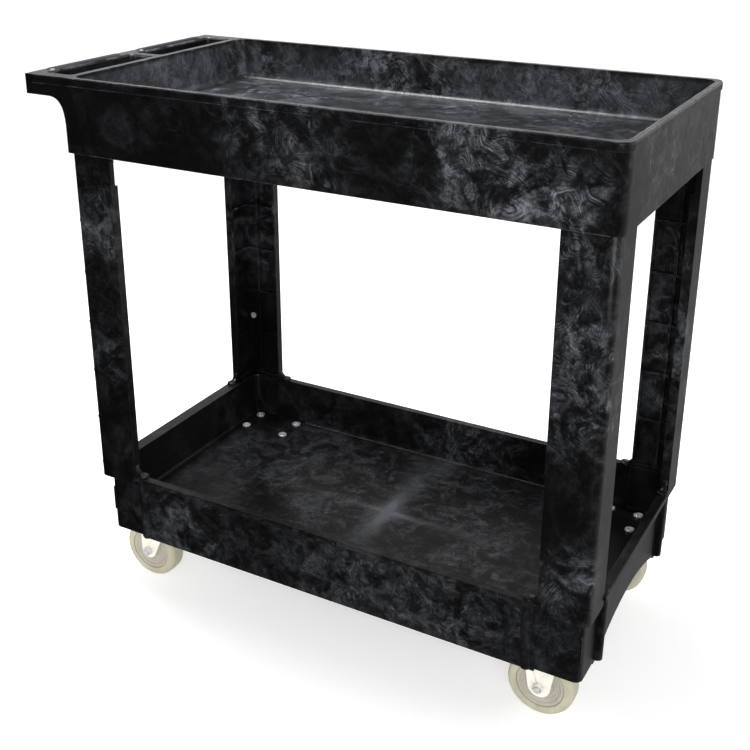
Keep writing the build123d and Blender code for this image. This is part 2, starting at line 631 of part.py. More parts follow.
# ---------------------------------------------------------------- fasteners
def screw_places():
    """Leg screws, two a leg: (point under the head, signed shank length, axis)."""
    places = []
    length = TENON_WALL + LEG_FIT + SCREW_BITE
    z = (APRON_BOTTOM + FLOOR_BOTTOM) / 2
    for _, x_side, y_side in corners():
        x_inner = apron_face_x(x_side) - x_side * (APRON_WALL + LEG_FIT + TENON_WALL)
        y_inner = y_side * (APRON_Y - APRON_WALL - LEG_FIT - TENON_WALL)
        x_middle = leg_face_x(x_side) - x_side * LEG_WIDTH_X / 2
        y_middle = y_side * (LEG_Y - LEG_WIDTH_Y / 2)
        places.append(((x_middle, y_inner, z), y_side * length, "Y"))
        places.append(((x_inner, y_middle, z), x_side * length, "X"))
    return places


def leg_screws():
    """Pan-head screws that hold the leg tenons in their sockets."""
    screws = []
    for start, length, axis in screw_places():
        back = -SCREW_HEAD if length > 0 else SCREW_HEAD
        screws.append(rod(start, SCREW_RADIUS, length, axis) + rod(start, SCREW_HEAD_RADIUS, back, axis))
    return Compound(children=screws)


def rivet_places():
    """Leg rivets, one a leg: (point on the inner face of the side flange, outward Y direction)."""
    places = []
    for _, x_side, y_side in corners():
        x = leg_face_x(x_side) - x_side * RIVET_INSET
        places.append(((x, y_side * (LEG_Y - LEG_SKIN), RIVET_HEIGHT), y_side))
    return places


def leg_rivets():
    """Bright rivets near the inside corner of each leg."""
    rivets = []
    for start, y_way in rivet_places():
        shank = rod(start, RIVET_RADIUS, y_way * (RIVET_DEPTH - SCREW_SPARE), "Y")
        head = rod(start, RIVET_HEAD_RADIUS, -y_way * RIVET_HEAD, "Y")
        rivets.append(shank + head)
    return Compound(children=rivets)


def caster_bolts():
    """Low-headed socket bolts, their heads in the round seats of the tray floor."""
    tip = PLATE_BOTTOM - BOLT_NUT - BOLT_TIP
    head_top = BOLT_SEAT + BOLT_HEAD
    bolts = []
    for x, y in bolt_centres():
        head = fillet_at(rod((x, y, BOLT_SEAT), BOLT_HEAD_RADIUS, BOLT_HEAD, "Z"), head_top, BOLT_HEAD / 2)
        recess = hex_bar((x, y, head_top - BOLT_HEX_DEPTH), BOLT_HEX, BOLT_HEX_DEPTH + OVERSHOOT, "Z")
        shank = rod((x, y, tip), BOLT_RADIUS, BOLT_SEAT - tip, "Z")
        bolts.append(head + shank - recess)
    return Compound(children=bolts)


def caster_nuts():
    """Hexagon nuts under the caster plates."""
    nuts = []
    for x, y in bolt_centres():
        low = PLATE_BOTTOM - BOLT_NUT
        nut = hex_bar((x, y, low), BOLT_NUT_HEX, BOLT_NUT, "Z")
        nuts.append(nut - rod((x, y, low - OVERSHOOT), BOLT_RADIUS + BOLT_CLEARANCE / 2,
                              BOLT_NUT + 2 * OVERSHOOT, "Z"))
    return Compound(children=nuts)


# ---------------------------------------------------------------- casters
def top_plate(pitch_x, pitch_y):
    """Mounting plate with its four bolt holes, centred on the caster."""
    face = RectangleRounded(pitch_x + 2 * PLATE_MARGIN, pitch_y + 2 * PLATE_MARGIN, PLATE_CORNER)
    plate = Pos(0, 0, PLATE_BOTTOM) * extrude(face, amount=PLATE_WALL)
    for grid in GridLocations(pitch_x, pitch_y, 2, 2):
        x, y = grid.position.X, grid.position.Y
        plate -= rod((x, y, PLATE_BOTTOM - OVERSHOOT), BOLT_RADIUS + BOLT_CLEARANCE,
                     PLATE_WALL + 2 * OVERSHOOT, "Z")
    return plate


def fork_leg(top_points, axle_x, boss):
    """Outline of a fork leg: the hull of its top edge and the round boss about the axle, extruded."""
    boss_edge = Pos(axle_x, WHEEL_RADIUS) * Edge.make_circle(boss)
    top_edge = Line(*top_points)
    leg_face = make_hull([boss_edge, top_edge])
    plate = extrude(Rot(90, 0, 0) * leg_face, amount=FORK_WALL)
    return plate


def fork_legs(top_points, axle_x, boss):
    """Pair of fork legs with the axle hole through both."""
    plate = fork_leg(top_points, axle_x, boss)
    legs = Pos(0, -FORK_INNER, 0) * plate + Pos(0, FORK_OUTER, 0) * plate
    return legs


def axle_hole(axle_x):
    """Cutter for the axle through both fork legs."""
    return rod((axle_x, -FORK_OUTER - OVERSHOOT, WHEEL_RADIUS), AXLE_RADIUS + AXLE_CLEARANCE,
               2 * (FORK_OUTER + OVERSHOOT), "Y")


def race_groove(height):
    """Ring cutter for the balls at one height."""
    return Pos(0, 0, height) * Torus(RACE_RADIUS, BALL_RADIUS + BALL_CLEARANCE)


def ball_height():
    """Height of the ball centres."""
    return RACE_FACE - RACE_GAP / 2


def swivel_plate():
    """Swivel caster top plate with the upper raceway below it and the kingpin hole."""
    plate = top_plate(SWIVEL_PITCH_X, SWIVEL_PITCH_Y)
    ring = rod((0, 0, RACE_FACE), RACE_OUTER, RACE_RING, "Z")
    plate += ring - rod((0, 0, RACE_FACE - OVERSHOOT), RACE_INNER, RACE_RING + OVERSHOOT, "Z")
    plate -= race_groove(ball_height())
    plate -= rod((0, 0, PLATE_BOTTOM - OVERSHOOT), KINGPIN_RADIUS, PLATE_WALL + 2 * OVERSHOOT, "Z")
    plate -= rod((0, 0, PLATE_TOP - KINGPIN_CAP), KINGPIN_CAP_RADIUS, KINGPIN_CAP + OVERSHOOT, "Z")
    return plate


def kingpin():
    """Riveted pin with a flush cap in the plate and a head under the crown."""
    low = CROWN_BOTTOM - KINGPIN_GAP - KINGPIN_HEAD
    pin = rod((0, 0, low), KINGPIN_RADIUS, PLATE_TOP - low, "Z")
    head = rod((0, 0, low), KINGPIN_HEAD_RADIUS, KINGPIN_HEAD, "Z")
    cap = rod((0, 0, PLATE_TOP - KINGPIN_CAP), KINGPIN_CAP_RADIUS, KINGPIN_CAP, "Z")
    return pin + fillet_at(head, low, KINGPIN_HEAD / 3) + cap


def swivel_balls():
    """Ring of loose balls between the two raceways."""
    places = PolarLocations(RACE_RADIUS, BALL_COUNT)
    return Compound(children=[Pos(0, 0, ball_height()) * place * Sphere(BALL_RADIUS) for place in places])


def swivel_fork():
    """Swivel yoke: ball-race crown over two raked legs that trail toward the handle."""
    back = -SWIVEL_TRAIL - SWIVEL_BOSS
    crown = block(back, CROWN_FRONT, -FORK_OUTER, FORK_OUTER, CROWN_BOTTOM, CROWN_TOP)
    crown += rod((0, 0, CROWN_BOTTOM), CROWN_RADIUS, CROWN_WALL, "Z")
    top_points = ((back, CROWN_TOP), (CROWN_FRONT, CROWN_TOP))
    fork = crown + fork_legs(top_points, -SWIVEL_TRAIL, SWIVEL_BOSS)
    fork -= race_groove(ball_height())
    fork -= rod((0, 0, CROWN_BOTTOM - OVERSHOOT), KINGPIN_RADIUS + KINGPIN_RUNNING,
                CROWN_WALL + 2 * OVERSHOOT, "Z")
    return fork - axle_hole(-SWIVEL_TRAIL)


def rigid_fork():
    """Rigid caster frame: top plate and two round-ended legs in one pressing."""
    top_z = PLATE_BOTTOM + PLATE_WALL / 2
    top_points = ((-RIGID_TOP_HALF, top_z), (RIGID_TOP_HALF, top_z))
    frame = top_plate(RIGID_PITCH_X, RIGID_PITCH_Y) + fork_legs(top_points, 0, RIGID_BOSS)
    return frame - axle_hole(0)


def revolve_about_axle(points):
    """Ring turned about the wheel axis from (radius, side) points."""
    profile = make_face(Polyline(*points, close=True))
    return revolve(profile, Axis.Y)


def wheel_core(x):
    """Wheel centre: hub, thin web and outer band, bored for the bush."""
    bore = BUSH_RADIUS + WHEEL_RUNNING
    hub_half = FORK_INNER - HUB_SIDE_CLEARANCE
    half = CORE_WIDTH / 2
    band = CORE_RADIUS - CORE_RIM
    web = WEB_WIDTH / 2
    points = [(bore, -hub_half), (HUB_RADIUS, -hub_half), (HUB_RADIUS, -web), (band, -web),
              (band, -half), (CORE_RADIUS, -half), (CORE_RADIUS, half), (band, half),
              (band, web), (HUB_RADIUS, web), (HUB_RADIUS, hub_half), (bore, hub_half)]
    return Pos(x, 0, WHEEL_RADIUS) * revolve_about_axle(points)


def wheel_tread(x):
    """Solid tread ring on the core, with rounded shoulders."""
    half = WHEEL_WIDTH / 2
    points = [(CORE_RADIUS, -half), (WHEEL_RADIUS, -half), (WHEEL_RADIUS, half), (CORE_RADIUS, half)]
    profile = make_face(Polyline(*points, close=True))
    shoulders = profile.vertices().sort_by(Axis.X)[-2:]
    ring = revolve(fillet(shoulders, TREAD_ROUND), Axis.Y)
    return Pos(x, 0, WHEEL_RADIUS) * ring


def wheel_bush(x):
    """Steel sleeve clamped between the fork legs, on which the wheel turns."""
    sleeve = rod((x, -FORK_INNER, WHEEL_RADIUS), BUSH_RADIUS, 2 * FORK_INNER, "Y")
    hole = rod((x, -FORK_INNER - OVERSHOOT, WHEEL_RADIUS), AXLE_RADIUS + AXLE_CLEARANCE,
               2 * (FORK_INNER + OVERSHOOT), "Y")
    return sleeve - hole


def axle_bolt(x, y_side):
    """Axle bolt, its head on the inner side of the trolley and its thread end outside."""
    head_face = -y_side * FORK_OUTER
    length = 2 * FORK_OUTER + AXLE_NUT + AXLE_TIP
    shank = rod((x, head_face, WHEEL_RADIUS), AXLE_RADIUS, y_side * length, "Y")
    head = hex_bar((x, head_face, WHEEL_RADIUS), AXLE_HEX, -y_side * AXLE_HEAD, "Y")
    return shank + head


def axle_nut(x, y_side):
    """Hexagon nut on the outer end of the axle bolt."""
    face = y_side * FORK_OUTER
    nut = hex_bar((x, face, WHEEL_RADIUS), AXLE_HEX, y_side * AXLE_NUT, "Y")
    hole = rod((x, face - y_side * OVERSHOOT, WHEEL_RADIUS), AXLE_RADIUS + AXLE_CLEARANCE,
               y_side * (AXLE_NUT + 2 * OVERSHOOT), "Y")
    return nut - hole


def running_gear(name, x, y_side):
    """The pieces every caster has about its axle, as {node: solid} in caster coordinates."""
    return {
        f"{name}_wheel_tread": wheel_tread(x),
        f"{name}_wheel_core": wheel_core(x),
        f"{name}_wheel_bush": wheel_bush(x),
        f"{name}_axle_bolt": axle_bolt(x, y_side),
        f"{name}_axle_nut": axle_nut(x, y_side),
    }


def swivel_caster(name, y_side):
    """All the pieces of one swivel caster, in place on the trolley."""
    pieces = {
        f"{name}_plate": swivel_plate(),
        f"{name}_kingpin": kingpin(),
        f"{name}_balls": swivel_balls(),
        f"{name}_fork": swivel_fork(),
    }
    pieces.update(running_gear(name, -SWIVEL_TRAIL, y_side))
    place = Pos(SWIVEL_X, y_side * CASTER_Y, 0)
    return {node: place * piece for node, piece in pieces.items()}


def rigid_caster(name, y_side):
    """All the pieces of one rigid caster, in place on the trolley."""
    pieces = {f"{name}_fork": rigid_fork()}
    pieces.update(running_gear(name, 0, y_side))
    place = Pos(RIGID_X, y_side * CASTER_Y, 0)
    return {node: place * piece for node, piece in pieces.items()}


def build():
    """Every piece of the trolley, as {node: solid}."""
    pieces = {"upper_shelf": upper_shelf(), "lower_shelf": lower_shelf()}
    for name, x_side, y_side in corners():
        pieces[f"leg_{name}"] = leg(x_side, y_side)
    pieces["leg_screws"] = leg_screws()
    pieces["leg_rivets"] = leg_rivets()
    pieces["caster_bolts"] = caster_bolts()
    pieces["caster_nuts"] = caster_nuts()
    for side_name, y_side in (("near", -1), ("far", 1)):
        pieces.update(swivel_caster(f"swivel_{side_name}", y_side))
        pieces.update(rigid_caster(f"rigid_{side_name}", y_side))
    return pieces


os.makedirs("parts", exist_ok=True)
for node, piece in build().items():
    export_step(piece, f"parts/{node}.step")
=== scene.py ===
"""Finishes, small hardware, studio and camera for the two-shelf service trolley.

Metres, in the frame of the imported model: +X away from the handle, +Z up, origin on the floor.
"""
import json
import logging
import math
from dataclasses import dataclass, field
from enum import Enum
from typing import Optional, Sequence, Union

import bmesh
import bpy
import numpy as np
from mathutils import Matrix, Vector


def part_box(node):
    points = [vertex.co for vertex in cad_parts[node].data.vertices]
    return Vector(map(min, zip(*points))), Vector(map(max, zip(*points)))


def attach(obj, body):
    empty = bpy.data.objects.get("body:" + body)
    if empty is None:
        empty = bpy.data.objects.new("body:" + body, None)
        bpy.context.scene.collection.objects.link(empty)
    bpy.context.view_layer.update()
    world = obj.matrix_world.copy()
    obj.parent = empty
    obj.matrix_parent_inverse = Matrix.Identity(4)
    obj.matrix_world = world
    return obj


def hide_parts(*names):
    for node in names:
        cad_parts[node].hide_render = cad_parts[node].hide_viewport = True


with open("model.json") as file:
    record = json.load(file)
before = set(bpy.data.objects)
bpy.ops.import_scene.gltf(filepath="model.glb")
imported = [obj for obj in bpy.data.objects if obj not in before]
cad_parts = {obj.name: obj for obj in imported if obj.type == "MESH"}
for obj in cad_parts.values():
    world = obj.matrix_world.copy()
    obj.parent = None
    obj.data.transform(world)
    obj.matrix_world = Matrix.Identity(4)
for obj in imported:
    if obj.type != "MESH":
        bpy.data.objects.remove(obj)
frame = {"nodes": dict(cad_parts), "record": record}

LOG = logging.getLogger("trolley")
Number = Union[int, float]
Colour = tuple[float, float, float]
Place = tuple[float, float, float]
CRISP_ANGLE = 35.0


class Side(Enum):
    """Long side of the trolley, as node names give it; the near one faces -Y."""

    NEAR = "near"
    FAR = "far"


class End(Enum):
    """Short end of the trolley, as the legs' names give it."""

    HANDLE = "handle"
    FAR = "end"


class Kind(Enum):
    """Kind of caster; the swivel ones stand at the handle end."""

    SWIVEL = "swivel"
    RIGID = "rigid"


CASTERS = tuple((kind, side) for kind in Kind for side in Side)


# ------------------------------------------------------------------ node writing
class Signal:
    """One output socket of a node tree, with arithmetic that adds Math nodes."""

    def __init__(self, book: "NodeBook", socket: Optional[bpy.types.NodeSocket]) -> None:
        """Wraps a socket.

        Args:
            book: The tree writer that owns the socket.
            socket: The output socket itself.
        """
        self.book = book
        self.socket = socket

    def _math(self, operation: str, *values: Union["Signal", Number]) -> "Signal":
        """Adds one Math node.

        Args:
            operation: The Math node's operation.
            values: Its inputs in order.

        Returns:
            The node's output.
        """
        return self.book.add("ShaderNodeMath", {"operation": operation}, dict(enumerate(values)))

    def __add__(self, other: Union["Signal", Number]) -> "Signal":
        """Sum."""
        return self._math("ADD", self, other)

    def __radd__(self, other: Number) -> "Signal":
        """Sum with a number on the left."""
        return self._math("ADD", other, self)

    def __sub__(self, other: Union["Signal", Number]) -> "Signal":
        """Difference."""
        return self._math("SUBTRACT", self, other)

    def __rsub__(self, other: Number) -> "Signal":
        """Difference from a number."""
        return self._math("SUBTRACT", other, self)

    def __mul__(self, other: Union["Signal", Number]) -> "Signal":
        """Product."""
        return self._math("MULTIPLY", self, other)

    def __rmul__(self, other: Number) -> "Signal":
        """Product with a number on the left."""
        return self._math("MULTIPLY", other, self)

    def __truediv__(self, other: Union["Signal", Number]) -> "Signal":
        """Quotient."""
        return self._math("DIVIDE", self, other)

    def __pow__(self, other: Number) -> "Signal":
        """Power."""
        return self._math("POWER", self, other)

    def absolute(self) -> "Signal":
        """Absolute value."""
        return self._math("ABSOLUTE", self)

    def exponential(self) -> "Signal":
        """e to this value."""
        return self._math("EXPONENT", self)

    def larger(self, other: Union["Signal", Number]) -> "Signal":
        """The larger of the two values."""
        return self._math("MAXIMUM", self, other)

    def smaller(self, other: Union["Signal", Number]) -> "Signal":
        """The smaller of the two values."""
        return self._math("MINIMUM", self, other)

    def rise(self, low: float, high: float, first: float = 0.0, last: float = 1.0) -> "Signal":
        """Smooth step.

        Args:
            low: Value at which the step starts.
            high: Value at which it ends.
            first: Result up to low.
            last: Result from high on.

        Returns:
            The stepped value, held between first and last.
        """
        ends = {"Value": self, "From Min": low, "From Max": high, "To Min": first, "To Max": last}
        return self.book.add("ShaderNodeMapRange", {"interpolation_type": "SMOOTHSTEP"}, ends)


class NodeBook:
    """Writes the node tree of one material or of the world."""

    def __init__(self, owner: Union[bpy.types.Material, bpy.types.World]) -> None:
        """Takes over a node tree and empties it.

        Args:
            owner: The material or the world.
        """
        self.owner = owner
        owner.use_nodes = True
        self.tree = owner.node_tree
        self.tree.nodes.clear()

    def add(
        self,
        kind: str,
        settings: Optional[dict] = None,
        inputs: Optional[dict] = None,
        output: Union[int, str] = 0,
    ) -> Signal:
        """Adds any node.

        Args:
            kind: The node's type name.
            settings: Its attributes, which are set first.
            inputs: Values or signals for its sockets, by name or number.
            output: Which output to return.

        Returns:
            The chosen output, which is empty for a node without outputs.
        """
        node = self.tree.nodes.new(kind)
        for key, value in (settings or {}).items():
            setattr(node, key, value)
        for key, value in (inputs or {}).items():
            if isinstance(value, Signal):
                self.tree.links.new(value.socket, node.inputs[key])
            else:
                node.inputs[key].default_value = value
        return Signal(self, node.outputs[output] if node.outputs else None)

    def place(self) -> Signal:
        """Object coordinates."""
        return self.add("ShaderNodeTexCoord", output="Object")

    def noise(self, at: Signal, scale: float, detail: float = 2.0, rough: float = 0.5,
              distortion: float = 0.0, output: Union[int, str] = 0) -> Signal:
        """Fractal noise of a place.

        Args:
            at: The place.
            scale: Features a metre.
            detail: Octaves.
            rough: How much each octave keeps.
            distortion: How far the pattern curls.
            output: "Fac" or "Color", by name or number.

        Returns:
            The noise value or colour.
        """
        values = {"Vector": at, "Scale": scale, "Detail": detail, "Roughness": rough,
                  "Distortion": distortion}
        return self.add("ShaderNodeTexNoise", None, values, output)

    def vector(self, operation: str, first: object, second: object = (0.0, 0.0, 0.0),
               output: Union[int, str] = 0) -> Signal:
        """Vector Math on two vectors.

        Args:
            operation: The node's operation.
            first: Vector or signal.
            second: Vector or signal.
            output: Which output.

        Returns:
            The result.
        """
        return self.add("ShaderNodeVectorMath", {"operation": operation}, {0: first, 1: second}, output)

    def scaled(self, at: Signal, factor: Place) -> Signal:
        """The place multiplied axis by axis."""
        return self.vector("MULTIPLY", at, factor)

    def parts(self, at: Signal) -> tuple[Signal, Signal, Signal]:
        """The X, Y and Z of a place."""
        node = self.add("ShaderNodeSeparateXYZ", None, {0: at}).socket.node
        return tuple(Signal(self, socket) for socket in node.outputs)

    def mix(self, factor: Signal, low: object, high: object) -> Signal:
        """Colour mix.

        Args:
            factor: 0 gives low, 1 gives high.
            low: Colour or signal.
            high: Colour or signal.

        Returns:
            The mixed colour.
        """
        values = {0: factor, 6: self._colour(low), 7: self._colour(high)}
        return self.add("ShaderNodeMix", {"data_type": "RGBA"}, values, 2)

    @staticmethod
    def _colour(value: object) -> object:
        """A colour with its alpha, or a signal as it is."""
        return value if isinstance(value, Signal) else (*value, 1.0)

    def bump(self, height: Signal, depth: float, strength: float = 1.0,
             below: Optional[Signal] = None) -> Signal:
        """Bump from a height.

        Args:
            height: Height from 0 to 1.
            depth: Depth of the full height in metres.
            strength: Share of the bump that shows.
            below: The normal that it is laid on.

        Returns:
            The bent normal.
        """
        values = {"Height": height, "Distance": depth, "Strength": strength}
        if below is not None:
            values["Normal"] = below
        return self.add("ShaderNodeBump", None, values)

    def edge_mask(self, radius: float) -> Signal:
        """How close a point is to a convex or concave edge.

        The normal blurred over the radius is compared with the true one: 1 - their dot product.

        Args:
            radius: Width of the band in metres.

        Returns:
            0 on flats, rising at edges.
        """
        soft = self.add("ShaderNodeBevel", {"samples": 4}, {"Radius": radius})
        true = self.add("ShaderNodeNewGeometry", output="Normal")
        return 1.0 - self.vector("DOT_PRODUCT", soft, true, "Value")

    def finish(self, varying: dict, constant: dict) -> bpy.types.Material:
        """Adds the shader and the output.

        Args:
            varying: Principled sockets fed by signals.
            constant: Principled sockets with one value.

        Returns:
            The finished material.
        """
        shader = self.add("ShaderNodeBsdfPrincipled", None, {**constant, **varying})
        self.add("ShaderNodeOutputMaterial", None, {"Surface": shader})
        return self.owner


# ------------------------------------------------------------------ finishes
@dataclass(frozen=True)
class FlowPatch:
    """A place where the resin flowed in visible feathers."""

    centre: Place
    radius: float
    strength: float


@dataclass(frozen=True)
class GateStar:
    """Star left round an injection gate, in a plane of constant Z."""

    centre: Place
    reach: float


@dataclass(frozen=True)
class ResinFinish:
    """Near-black moulded resin with grey feathered flow lines, a painted highlight along upward-facing
    edges and, where a basin is given, a painted sheen inside it.
    """

    name: str
    patches: tuple[FlowPatch, ...]
    stars: tuple[GateStar, ...] = ()
    black: Colour = (0.0022, 0.0024, 0.0028)
    haze: Colour = (0.016, 0.017, 0.019)
    feather: Colour = (0.150, 0.158, 0.176)
    everywhere: float = 0.11
    # basin: box of the tub's inside, where a pale painted sheen is laid over the resin and the feathers
    # are brightened.
    basin: Optional[tuple[Place, Place]] = None
    painted_basin_sheen: Colour = (0.125, 0.132, 0.150)
    # edge_light and the colour below paint a highlight along upward-facing edges; the same colour also
    # gives scattered pale specks.
    edge_light: float = 0.55
    highlight_and_speck_colour: Colour = (0.14, 0.147, 0.165)
    roughness: float = 0.33
    eddy_scale: float = 7.5
    eddy_depth: float = 0.34
    line_count: float = 430.0
    edge_width: float = 0.0022
    pebble_scale: float = 520.0
    pebble_depth: float = 0.00022
    ripple_depth: float = 0.00045

    def _lines(self, book: NodeBook, at: Signal, way: Place, shift: Place) -> Signal:
        """Streaks along the level lines of a bent ramp.

        The phase is the place along a direction plus a slow noise of about a hand's width, and a
        one-dimensional noise of the phase gives lines that sweep and eddy.

        Args:
            book: The tree writer.
            at: The place.
            way: Direction across the streaks.
            shift: Offset that makes this layer's eddies its own.

        Returns:
            Streak brightness from 0 to 1.
        """
        here = book.vector("ADD", at, shift)
        bend = book.noise(here, self.eddy_scale, 2.0, 0.45, 0.5)
        phase = book.vector("DOT_PRODUCT", at, way, "Value") + bend * self.eddy_depth
        lines = book.add("ShaderNodeTexNoise", {"noise_dimensions": "1D"},
                         {"W": phase * self.line_count, "Scale": 1.0, "Detail": 2.0, "Roughness": 0.6})
        broken = book.noise(here, 70.0, 3.0, 0.6, 0.7)
        return lines.rise(0.34, 0.72) * broken.rise(0.36, 0.62)

    def _flow(self, book: NodeBook, at: Signal) -> tuple[Signal, Signal]:
        """Two layers of fibres that take over from each other, with a mottle, and the slow cloud.

        Args:
            book: The tree writer.
            at: The place.

        Returns:
            (fibres, cloud), both 0 to 1.
        """
        turn = book.noise(at, 11.0, 2.0, 0.5, 1.2).rise(0.42, 0.58)
        first = self._lines(book, at, (0.55, 0.75, 0.95), (0.0, 0.0, 0.0))
        second = self._lines(book, at, (0.95, -0.6, 0.35), (3.1, 1.7, 5.3))
        mottle = book.noise(at, 48.0, 6.0, 0.72, 1.3).rise(0.44, 0.72)
        grain = book.noise(at, self.pebble_scale, 2.0, 0.6) * 1.1 + 0.45
        fibres = ((first * turn + second * (1.0 - turn)) * 0.95 + mottle * 0.5) * grain
        cloud = book.noise(at, 6.5, 7.0, 0.70, 1.5).rise(0.48, 0.72)
        return fibres, cloud

    def _patch_mask(self, book: NodeBook, at: Signal) -> Signal:
        """Where the feathers show.

        It is the sum of soft balls, one a patch: strength * exp(-(distance / radius)^2), with
        edges frayed by noise.

        Args:
            book: The tree writer.
            at: The place.

        Returns:
            Share of the feathers that shows, up to 1.5.
        """
        fray = book.noise(at, 19.0, 7.0, 0.72, 1.1).rise(0.40, 0.64)
        total: Optional[Signal] = None
        for patch in self.patches:
            away = book.vector("DISTANCE", at, patch.centre, "Value") / patch.radius
            ball = (away * away * -1.0).exponential() * patch.strength
            total = ball if total is None else total + ball
        assert total is not None
        return (total * (fray * 1.25 + 0.06)).smaller(1.5)

    def _in_basin(self, book: NodeBook, at: Signal) -> Signal:
        """How far inside the basin's box a place is.

        For each axis the distance to the nearer wall of the box is stepped over a few millimetres,
        and the three steps are multiplied.

        Args:
            book: The tree writer.
            at: The place.

        Returns:
            0 outside, 1 inside.
        """
        assert self.basin is not None
        low, high = self.basin
        inside: Optional[Signal] = None
        for value, start, end in zip(book.parts(at), low, high):
            room = ((start + end) / 2.0 - value).absolute() * -1.0 + (end - start) / 2.0
            step = room.rise(0.0, 0.006)
            inside = step if inside is None else inside * step
        assert inside is not None
        return inside

    def _star(self, book: NodeBook, at: Signal, star: GateStar) -> Signal:
        """Glow, weld bands along Y and thin lines along X, fading with distance from the gate.

        Args:
            book: The tree writer.
            at: The place.
            star: The gate star.

        Returns:
            Brightness from 0 to about 1.
        """
        wavy = book.noise(at, 30.0, 2.0, 0.5)
        x, y, z = book.parts(at)
        dx = x - star.centre[0] + (wavy - 0.5) * 0.012
        dy = y - star.centre[1] + (wavy - 0.5) * 0.012
        away = ((dx * dx + dy * dy) ** 0.5) / star.reach
        fade = (away * -2.1).exponential()
        across_y = dx / (dy.absolute() * 0.16 + 0.006)
        across_x = dy / (dx.absolute() * 0.05 + 0.004)
        band_y = (across_y * across_y * -1.0).exponential()
        band_x = (across_x * across_x * -1.0).exponential() * 0.7
        core = (away * away * -38.0).exponential()
        level = (z - star.centre[2]).absolute().rise(0.004, 0.002)
        return (band_y.larger(band_x) * fade + core * 0.8) * level

    def build(self) -> bpy.types.Material:
        """Writes the material.

        Returns:
            The finished material.
        """
        book = NodeBook(bpy.data.materials.new(self.name))
        at = book.place()
        strokes, cloud = self._flow(book, at)
        mask = self._patch_mask(book, at)
        amount = cloud * self.everywhere + mask
        bright = (strokes * amount).smaller(1.0)
        veil = (cloud * 0.35 + mask * 0.55).smaller(1.0)
        for star in self.stars:
            bright = (bright + self._star(book, at, star) * 1.05).smaller(1.0)
        speck = book.noise(at, 900.0, 1.0, 0.4).rise(0.74, 0.80) * book.noise(at, 17.0).rise(0.5, 0.7)
        # Painted highlight: a pale line along upward-facing convex and concave edges, broken up by
        # noise. Scattered pale specks share its colour.
        facing = book.parts(book.add("ShaderNodeNewGeometry", output="Normal"))[2].rise(-0.25, 0.55)
        highlight_breakup = book.noise(at, 55.0, 4.0, 0.65).rise(0.36, 0.68)
        edge = facing * book.edge_mask(self.edge_width).rise(0.03, 0.26) * highlight_breakup
        base = book.mix(veil, self.black, self.haze)
        # Painted sheen: inside the basin's box a pale blotchy veil covers the resin and the feathers are
        # made brighter.
        if self.basin is not None:
            wear_and_sheen = book.noise(book.scaled(at, (1.0, 1.0, 0.45)), 12.0, 6.0, 0.66, 0.9).rise(0.33, 0.66)
            inside = self._in_basin(book, at)
            base = book.mix(inside * wear_and_sheen * (strokes * 0.6 + 0.4), base, self.painted_basin_sheen)
            bright = bright * (inside * 0.6 + 1.0)
        base = book.mix(bright.smaller(1.0), base, self.feather)
        base = book.mix((edge * self.edge_light + speck * 0.6).smaller(1.0), base, self.highlight_and_speck_colour)
        haze = book.noise(at, 13.0, 4.0, 0.6, 0.5)
        pebble = book.noise(at, self.pebble_scale, 3.0, 0.6)
        rough = haze * 0.16 + pebble * 0.16 + (self.roughness - 0.16) - bright * 0.10
        ripple = book.noise(at, 60.0, 2.0, 0.5)
        normal = book.bump(ripple, self.ripple_depth, 0.6)
        normal = book.bump(pebble + strokes * 0.5, self.pebble_depth, 0.8, normal)
        return book.finish({"Base Color": base, "Roughness": rough, "Normal": normal},
                           {"Specular IOR Level": 0.38, "IOR": 1.49})


@dataclass(frozen=True)
class WheelFinish:
    """Tan moulded wheel polymer, with dust, scuffs and turned rings about each axle."""

    name: str
    axles: tuple[Place, ...]
    pale: Colour = (0.52, 0.495, 0.375)
    dark: Colour = (0.43, 0.41, 0.295)
    roughness: float = 0.42
    ring_pitch: float = 0.0022
    ring_colour: Colour = (0.42, 0.375, 0.25)
    grime_colour: Colour = (0.30, 0.275, 0.195)
    worn_radius: float = 0.0508

    def build(self) -> bpy.types.Material:
        """Writes the material.

        Returns:
            The finished material.
        """
        book = NodeBook(bpy.data.materials.new(self.name))
        at = book.place()
        nearest: Optional[Signal] = None
        for axle in self.axles:
            flat = book.scaled(book.vector("SUBTRACT", at, axle), (1.0, 0.0, 1.0))
            away = book.vector("LENGTH", flat, output="Value")
            nearest = away if nearest is None else nearest.smaller(away)
        assert nearest is not None
        cloudy = book.noise(at, 42.0, 4.0, 0.6, 0.7)
        rings = book.add("ShaderNodeTexNoise", {"noise_dimensions": "1D"},
                         {"W": nearest / self.ring_pitch, "Scale": 1.0, "Detail": 2.0})
        scuff = book.noise(book.scaled(at, (1.0, 3.0, 1.0)), 160.0, 4.0, 0.7, 0.4).rise(0.56, 0.74)
        grime = (nearest / self.worn_radius).rise(0.86, 1.0) * cloudy.rise(0.30, 0.75)
        colour = book.mix(cloudy.rise(0.28, 0.74), self.dark, self.pale)
        colour = book.mix(rings.rise(0.50, 0.68) * 0.40, colour, self.ring_colour)
        colour = book.mix((grime * 0.30 + scuff * 0.16).smaller(1.0), colour, self.grime_colour)
        rough = cloudy * 0.22 + scuff * 0.15 + (self.roughness - 0.1)
        normal = book.bump(rings, 0.00008, 0.7)
        normal = book.bump(book.noise(at, 700.0, 2.0), 0.00005, 0.5, normal)
        return book.finish({"Base Color": colour, "Roughness": rough, "Normal": normal},
                           {"Specular IOR Level": 0.5})


